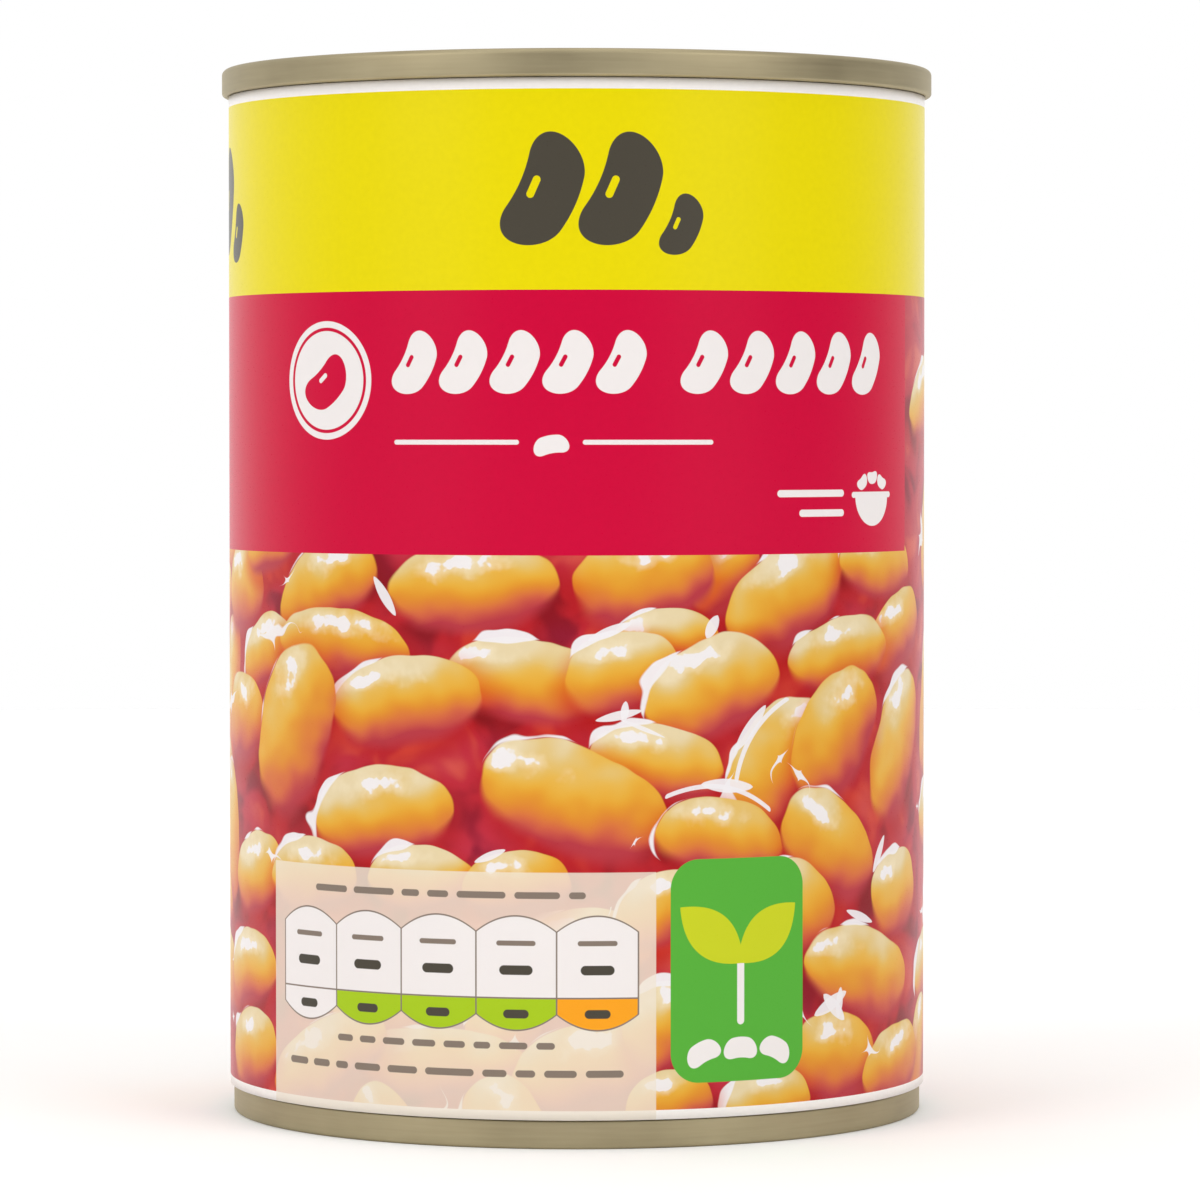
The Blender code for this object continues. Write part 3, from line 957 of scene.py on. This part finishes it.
def printed_bean():
    """One printed bean over what is under it: a soft shadow below, the bean, its reflections."""
    inputs = (("Under", "Color"), ("Place", "Vector"), ("Form", "Vector"), ("Print", "Vector"))
    tree, given = new_group("printed bean", inputs)
    turn, half_length, half_width = add(tree, "SeparateXYZ", given["Form"]).outputs
    seed = add(tree, "SeparateXYZ", given["Place"]).outputs["Z"]
    seed = add(tree, "Math", seed, operation="ROUND")
    draws = add(tree, "TexWhiteNoise", None, seed, noise_dimensions="1D").outputs["Color"]
    chance = add(tree, "SeparateXYZ", draws).outputs
    shift = add(tree, "Math", seed, 0.73, operation="MULTIPLY")
    shift = add(tree, "CombineXYZ", 0.0, 0.0, shift)
    spot = add(tree, "VectorMath", given["Print"], shift, operation="ADD")
    soft = add(tree, "TexNoise", named={"Vector": spot, "Scale": 1.0 / BEAN_SOFT_MM, "Detail": 1.0})
    fine = add(tree, "TexNoise", named={"Vector": spot, "Scale": 1.0 / BEAN_FINE_MM, "Detail": 2.0})

    # The outline: an oval, plumper than an ellipse, a little bent and uneven.
    place = given["Place"]
    wander = add(tree, "VectorMath", soft.outputs["Color"], (0.5, 0.5, 0.5), operation="SUBTRACT")
    uneven = add(tree, "VectorMath", wander, OUTLINE_WANDER, place, operation="MULTIPLY_ADD")
    u, v, _ = add(tree, "SeparateXYZ", uneven).outputs
    bow = add(tree, "Math", chance[0], BEND_SPREAD, LEAST_BEND, operation="MULTIPLY_ADD")
    sag = add(tree, "Math", u, u, operation="MULTIPLY")
    sag = add(tree, "Math", sag, bow, operation="MULTIPLY")
    v = add(tree, "Math", v, sag, operation="ADD")
    u_part = add(tree, "Math", u, operation="ABSOLUTE")
    u_part = add(tree, "Math", u_part, PLUMP_ALONG, operation="POWER")
    v_part = add(tree, "Math", v, operation="ABSOLUTE")
    v_part = add(tree, "Math", v_part, PLUMP_ACROSS, operation="POWER")
    edge = add(tree, "Math", u_part, v_part, operation="ADD")
    inside = add(tree, "Math", 1.0, edge, operation="SUBTRACT")
    dome = add(tree, "Math", add(tree, "Math", inside, 0.0, operation="MAXIMUM"), operation="SQRT")

    # Which way the bean's skin faces, in the picture's own plane.
    slim = add(tree, "Math", half_width, half_length, operation="DIVIDE")
    slim_u = add(tree, "Math", u, slim, operation="MULTIPLY")
    facing = add(tree, "CombineXYZ", slim_u, v, add(tree, "Math", dome, DOME, operation="MULTIPLY"))
    facing = add(tree, "VectorMath", facing, operation="NORMALIZE")
    facing = add(tree, "VectorRotate", facing, named={"Angle": turn}, rotation_type="Z_AXIS")
    aim_x, aim_z, _ = add(tree, "SeparateXYZ", facing).outputs

    # Warm shading: pale where it faces the light, then gold, orange and the sauce's red below.
    light = add(tree, "VectorMath", facing, PICTURE_LIGHT, operation="DOT_PRODUCT").outputs["Value"]
    cloud = add(tree, "Math", soft, 0.5, operation="SUBTRACT")
    cloud = add(tree, "Math", cloud, TONE_CLOUD, operation="MULTIPLY")
    own = add(tree, "Math", chance[1], OWN_TONE_SPREAD, LOWEST_OWN_TONE, operation="MULTIPLY_ADD")
    tone = add(tree, "Math", light, SHADING_RANGE, SHADING_MIDDLE, operation="MULTIPLY_ADD")
    tone = add(tree, "Math", add(tree, "Math", tone, cloud, operation="ADD"), own, operation="ADD")
    skin = add(tree, "ValToRGB", tone)
    ramp = skin.color_ramp
    ramp.interpolation = "B_SPLINE"
    ramp.elements[0].color = linear(BEAN_TONES[0][1])
    ramp.elements[1].color = linear(BEAN_TONES[-1][1])
    for position, colour in BEAN_TONES[1:-1]:
        ramp.elements.new(position).color = linear(colour)

    # A big window's ragged reflection near the upper left, with a pale glow round it.
    ragged = add(tree, "Math", fine, 0.5, operation="SUBTRACT")
    ragged = add(tree, "Math", ragged, WINDOW_RAGGED, operation="MULTIPLY")
    side = add(tree, "Math", chance[2], WINDOW_SIDE_SPREAD, WINDOW_LEFT, operation="MULTIPLY_ADD")
    window_x = add(tree, "Math", aim_x, side, operation="SUBTRACT")
    window_x = add(tree, "Math", window_x, WINDOW_NARROW, operation="MULTIPLY")
    window_z = add(tree, "Math", aim_z, -WINDOW_UP, operation="ADD")
    window_z = add(tree, "Math", window_z, WINDOW_LOW, operation="MULTIPLY")
    away = add(tree, "CombineXYZ", window_x, window_z, 0.0)
    away = add(tree, "VectorMath", away, operation="LENGTH").outputs["Value"]
    away = add(tree, "Math", away, ragged, operation="ADD")
    window = add(tree, "MapRange", away, 1.04, 0.74, 0.0, 0.92, interpolation_type="SMOOTHSTEP")
    glow = add(tree, "MapRange", away, 2.6, 0.6, 0.0, 0.5, interpolation_type="SMOOTHSTEP")
    lit = add(tree, "Mix", named={0: glow, 6: skin, 7: linear(BEAN_GLOW)}, data_type="RGBA")
    mirrored = {0: window, 6: lit.outputs[2], 7: linear(REFLECTION_WHITE)}
    lit = add(tree, "Mix", named=mirrored, data_type="RGBA")

    # The bean's upper edge is crisp, and its lower edge melts into the sauce.
    edges = (MELTING_EDGE, CRISP_EDGE)
    softness = add(tree, "MapRange", aim_z, -0.75, 0.2, *edges, interpolation_type="SMOOTHSTEP")
    cover = add(tree, "Math", inside, softness, operation="DIVIDE")
    cover = add(tree, "MapRange", cover, 0.0, 1.0, 0.0, 1.0, interpolation_type="SMOOTHSTEP")

    # Films of sauce mirror the window too: a thin crescent hugs the outline near film_at.
    far = add(tree, "Math", edge, operation="SQRT")
    along = add(tree, "Math", u, half_length, operation="MULTIPLY")
    across = add(tree, "Math", v, half_width, operation="MULTIPLY")
    around = add(tree, "Math", across, along, operation="ARCTAN2")
    film_at = add(tree, "Math", chance[0], FILM_TURN_SPREAD, FILM_TURN, operation="MULTIPLY_ADD")
    film_at = add(tree, "Math", film_at, turn, operation="SUBTRACT")
    beside = add(tree, "Math", around, film_at, operation="SUBTRACT")
    beside = add(tree, "Math", beside, operation="COSINE")
    present = add(tree, "MapRange", chance[1], 0.2, 0.8, 0.0, FILM_THICKEST)
    film = add(tree, "MapRange", beside, 0.78, 1.0, 0.0, present, interpolation_type="SMOOTHSTEP")
    patchy = add(tree, "Math", soft, 3.2, -0.9, operation="MULTIPLY_ADD")
    film = add(tree, "Math", film, patchy, operation="MULTIPLY")
    off_film = add(tree, "Math", far, 1.01, operation="SUBTRACT")
    off_film = add(tree, "Math", off_film, operation="ABSOLUTE")
    film = add(tree, "Math", off_film, film, operation="SUBTRACT")
    film = add(tree, "MapRange", film, -0.004, -0.034, 0.0, 0.95)

    # On some beans a pointed film spans the corner to the next bean, pulled out of shape.
    star_at = add(tree, "Math", film_at, 0.35, operation="ADD")
    star_x = add(tree, "Math", star_at, operation="COSINE")
    star_x = add(tree, "Math", star_x, STAR_OUT_ALONG, operation="MULTIPLY")
    star_x = add(tree, "Math", u, star_x, operation="SUBTRACT")
    star_x = add(tree, "Math", star_x, half_length, operation="MULTIPLY")
    star_y = add(tree, "Math", star_at, operation="SINE")
    star_y = add(tree, "Math", star_y, STAR_OUT_ACROSS, operation="MULTIPLY")
    star_y = add(tree, "Math", v, star_y, operation="SUBTRACT")
    star_y = add(tree, "Math", star_y, half_width, operation="MULTIPLY")
    pull_x, pull_y, _ = add(tree, "SeparateXYZ", wander).outputs
    star_x = add(tree, "Math", pull_x, STAR_PULL_MM, star_x, operation="MULTIPLY_ADD")
    star_y = add(tree, "Math", pull_y, STAR_PULL_MM, star_y, operation="MULTIPLY_ADD")
    lean = add(tree, "Math", chance[1], 1.2, -0.4, operation="MULTIPLY_ADD")
    star_x = add(tree, "Math", star_y, lean, star_x, operation="MULTIPLY_ADD")
    star_x = add(tree, "Math", star_x, STAR_NARROW, operation="MULTIPLY")
    star_x = add(tree, "Math", add(tree, "Math", star_x, operation="ABSOLUTE"), operation="SQRT")
    star_y = add(tree, "Math", add(tree, "Math", star_y, operation="ABSOLUTE"), operation="SQRT")
    star = add(tree, "Math", star_x, star_y, operation="ADD")
    star_size = add(tree, "MapRange", chance[2], 0.45, 1.0, -0.1, 1.6)
    star = add(tree, "Math", star, star_size, operation="SUBTRACT")
    star = add(tree, "MapRange", star, 0.05, -0.05, 0.0, 0.92)
    film = add(tree, "Math", film, star, operation="MAXIMUM")

    # The shadow lies close round the bean, deepest below and to the right.
    unturned = {"rotation_type": "Z_AXIS", "invert": True}
    fall = add(tree, "VectorRotate", SHADOW_FALL, named={"Angle": turn}, **unturned)
    size = add(tree, "CombineXYZ", half_length, half_width, 1.0)
    fall = add(tree, "VectorMath", fall, size, operation="DIVIDE")
    flat = add(tree, "VectorMath", place, (1.0, 1.0, 0.0), operation="MULTIPLY")
    cast = add(tree, "VectorMath", flat, fall, operation="ADD")
    cast = add(tree, "VectorMath", cast, operation="LENGTH").outputs["Value"]
    fade = (1.42, 0.85, 0.0, SHADOW_DEPTH)
    shade = add(tree, "MapRange", cast, *fade, interpolation_type="SMOOTHSTEP")
    shaded = {0: shade, 6: given["Under"], 7: linear(BEAN_SHADE)}
    under = add(tree, "Mix", named=shaded, data_type="RGBA", blend_type="MULTIPLY")
    bean_over = {0: cover, 6: under.outputs[2], 7: lit.outputs[2]}
    shown = add(tree, "Mix", named=bean_over, data_type="RGBA")
    film_over = {0: film, 6: shown.outputs[2], 7: linear(REFLECTION_WHITE)}
    shown = add(tree, "Mix", named=film_over, data_type="RGBA")
    return close_group(tree, shown.outputs[2])


def sauce(tree, place):
    """Tomato sauce between the beans: deep red hollows and lighter, redder swells."""
    pattern = {"Vector": place, "Scale": 1.0 / SAUCE_SWELL_MM, "Detail": 2.0, "Distortion": 0.4}
    colours = add(tree, "ValToRGB", add(tree, "TexNoise", named=pattern))
    colours.color_ramp.interpolation = "EASE"
    colours.color_ramp.elements[0].position = 0.32
    colours.color_ramp.elements[0].color = linear(SAUCE_DEEP)
    colours.color_ramp.elements[1].position = 0.72
    colours.color_ramp.elements[1].color = linear(SAUCE_LIGHT)
    colours.color_ramp.elements.new(0.52).color = linear(SAUCE_RED)
    return colours.outputs[0]


# Label: the printed paper
# The sheet is gloss-coated paper, offset printed in solid inks. The coating leaves a soft gloss, its
# back and cut edges are bare, and it cockles a little over the steel, where the glue doesn't hold it.
PAPER_THICKNESS_MM = 0.12
PAPER_WHITE = "F4EFEB"
BARE_PAPER_LIGHT = "EFEBE4"
BARE_PAPER_DARK = "DCD6CC"
PAPER_FIBRE_MM = 0.2
BARE_FIBRE_MM = 0.25
INK_MOTTLE_MM = 0.7
COCKLE_MM = 20.0
INK_EDGE_MM = 0.03
PAPER_GLOSS = (0.27, 0.33)
PAPER_SPECULAR = 0.15


def printed_mark():
    """One flat mark over what is under it: a rounded box, bent or arched, in one ink."""
    inputs = (("Under", "Color"), ("Place", "Vector"), ("Form", "Vector"))
    tree, given = new_group("printed mark", (*inputs, ("Ink", "Color"), ("Cover", "Float")))
    u, v, curve = add(tree, "SeparateXYZ", given["Place"]).outputs
    core_width, core_height, corner = add(tree, "SeparateXYZ", given["Form"]).outputs
    square = add(tree, "Math", u, u, operation="MULTIPLY")
    bend_by = add(tree, "Math", curve, 0.0, operation="MAXIMUM")
    bend_by = add(tree, "Math", bend_by, square, operation="MULTIPLY")
    arch_by = add(tree, "Math", curve, 0.0, operation="MINIMUM")
    arch_by = add(tree, "Math", arch_by, square, operation="MULTIPLY")
    bent = add(tree, "Math", v, bend_by, operation="SUBTRACT")
    tall = add(tree, "Math", bent, operation="ABSOLUTE")
    tall = add(tree, "Math", tall, arch_by, operation="SUBTRACT")
    wide = add(tree, "Math", u, operation="ABSOLUTE")
    outer = add(tree, "CombineXYZ", wide, tall, 0.0)
    core = add(tree, "CombineXYZ", core_width, core_height, 0.0)
    past = add(tree, "VectorMath", outer, core, operation="SUBTRACT")
    past = add(tree, "VectorMath", past, (0.0, 0.0, 0.0), operation="MAXIMUM")
    far = add(tree, "VectorMath", past, operation="LENGTH").outputs["Value"]
    beyond = add(tree, "Math", far, corner, operation="SUBTRACT")
    inked = add(tree, "MapRange", beyond, INK_EDGE_MM, -INK_EDGE_MM, 0.0, 1.0)
    inked = add(tree, "Math", inked, given["Cover"], operation="MULTIPLY")
    shown = add(tree, "Mix", named={0: inked, 6: given["Under"], 7: given["Ink"]}, data_type="RGBA")
    return close_group(tree, shown.outputs[2])


def lay_over(tree, group, fed):
    """Adds one printed shape to a material, fed by name, and gives the colour that it leaves."""
    printed = add(tree, "Group", node_tree=group)
    for key, value in fed.items():
        tree.links.new(value, printed.inputs[key])
    return printed.outputs[0]


def printed_paper(name, field, ground):
    """Gloss-coated label paper with one field of the print. ground is an ink, or None for the
    picture. The coating leaves a soft gloss, and the fibres under it a very fine grain."""
    made, tree = new_material(name)
    place = add(tree, "UVMap", uv_map="print").outputs[0]
    if ground is None:
        colour = sauce(tree, place)
        for layer in range(bean_layers):
            at = add(tree, "Attribute", attribute_name=f"bean_at_{layer}").outputs["Vector"]
            form = add(tree, "Attribute", attribute_name=f"bean_form_{layer}").outputs["Vector"]
            fed = {"Under": colour, "Place": at, "Form": form, "Print": place}
            colour = lay_over(tree, bean_tree, fed)
    else:
        mottle = {"Vector": place, "Scale": 1.0 / INK_MOTTLE_MM, "Detail": 2.0}
        even = add(tree, "MapRange", add(tree, "TexNoise", named=mottle), 0.3, 0.7, 0.985, 1.015)
        colour = add(tree, "VectorMath", linear(ground)[:3], even, operation="MULTIPLY").outputs[0]
    for layer in range(mark_count[fields == field].max()):
        at = add(tree, "Attribute", attribute_name=f"mark_at_{layer}").outputs["Vector"]
        form = add(tree, "Attribute", attribute_name=f"mark_form_{layer}").outputs["Vector"]
        ink = add(tree, "Attribute", attribute_name=f"mark_ink_{layer}").outputs
        fed = {"Under": colour, "Place": at, "Form": form}
        fed.update({"Ink": ink["Color"], "Cover": ink["Alpha"]})
        colour = lay_over(tree, mark_tree, fed)
    fibre_map = {"Vector": place, "Scale": 1.0 / PAPER_FIBRE_MM, "Detail": 3.0}
    fibres = add(tree, "TexNoise", named=fibre_map)
    cockle = add(tree, "TexNoise", named={"Vector": place, "Scale": 1.0 / COCKLE_MM, "Detail": 1.0})
    gloss = add(tree, "MapRange", fibres, 0.3, 0.7, *PAPER_GLOSS)
    grain = add(tree, "Bump", named={"Height": fibres, "Strength": 0.06, "Distance": 0.00002})
    waves = {"Height": cockle, "Strength": 0.25, "Distance": 0.0006, "Normal": grain}
    shader = add(tree, "BsdfPrincipled")
    tree.links.new(colour, shader.inputs["Base Color"])
    tree.links.new(gloss.outputs[0], shader.inputs["Roughness"])
    tree.links.new(add(tree, "Bump", named=waves).outputs[0], shader.inputs["Normal"])
    shader.inputs["Specular IOR Level"].default_value = PAPER_SPECULAR
    add(tree, "OutputMaterial", shader)
    return made


def bare_paper():
    """The sheet's uncoated back and its cut edges: matt white paper."""
    made, tree = new_material("label paper, uncoated back")
    place = add(tree, "TexCoord").outputs["Object"]
    fibres = {"Vector": place, "Scale": 1.0 / (BARE_FIBRE_MM * MM), "Detail": 3.0}
    tint = add(tree, "ValToRGB", add(tree, "TexNoise", named=fibres))
    tint.color_ramp.elements[0].color = linear(BARE_PAPER_DARK)
    tint.color_ramp.elements[1].color = linear(BARE_PAPER_LIGHT)
    shader = add(tree, "BsdfPrincipled")
    tree.links.new(tint.outputs[0], shader.inputs["Base Color"])
    shader.inputs["Roughness"].default_value = 0.85
    add(tree, "OutputMaterial", shader)
    return made


bean_tree = printed_bean()
mark_tree = printed_mark()
label_mesh.materials.append(printed_paper("label paper, unprinted margin", MARGIN, PAPER_WHITE))
label_mesh.materials.append(printed_paper("label paper, yellow ink", YELLOW, INK_YELLOW))
label_mesh.materials.append(printed_paper("label paper, crimson ink", CRIMSON, INK_CRIMSON))
label_mesh.materials.append(printed_paper("label paper, printed picture", PICTURE, None))
label_mesh.materials.append(bare_paper())
label = bpy.data.objects.new("paper_label", label_mesh)
bpy.context.scene.collection.objects.link(label)
thickness = label.modifiers.new("paper thickness", "SOLIDIFY")
thickness.thickness = PAPER_THICKNESS_MM * MM
thickness.offset = -1.0
thickness.use_rim = True
thickness.material_offset = BARE_PAPER
thickness.material_offset_rim = BARE_PAPER
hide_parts("label")
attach(label, "root")
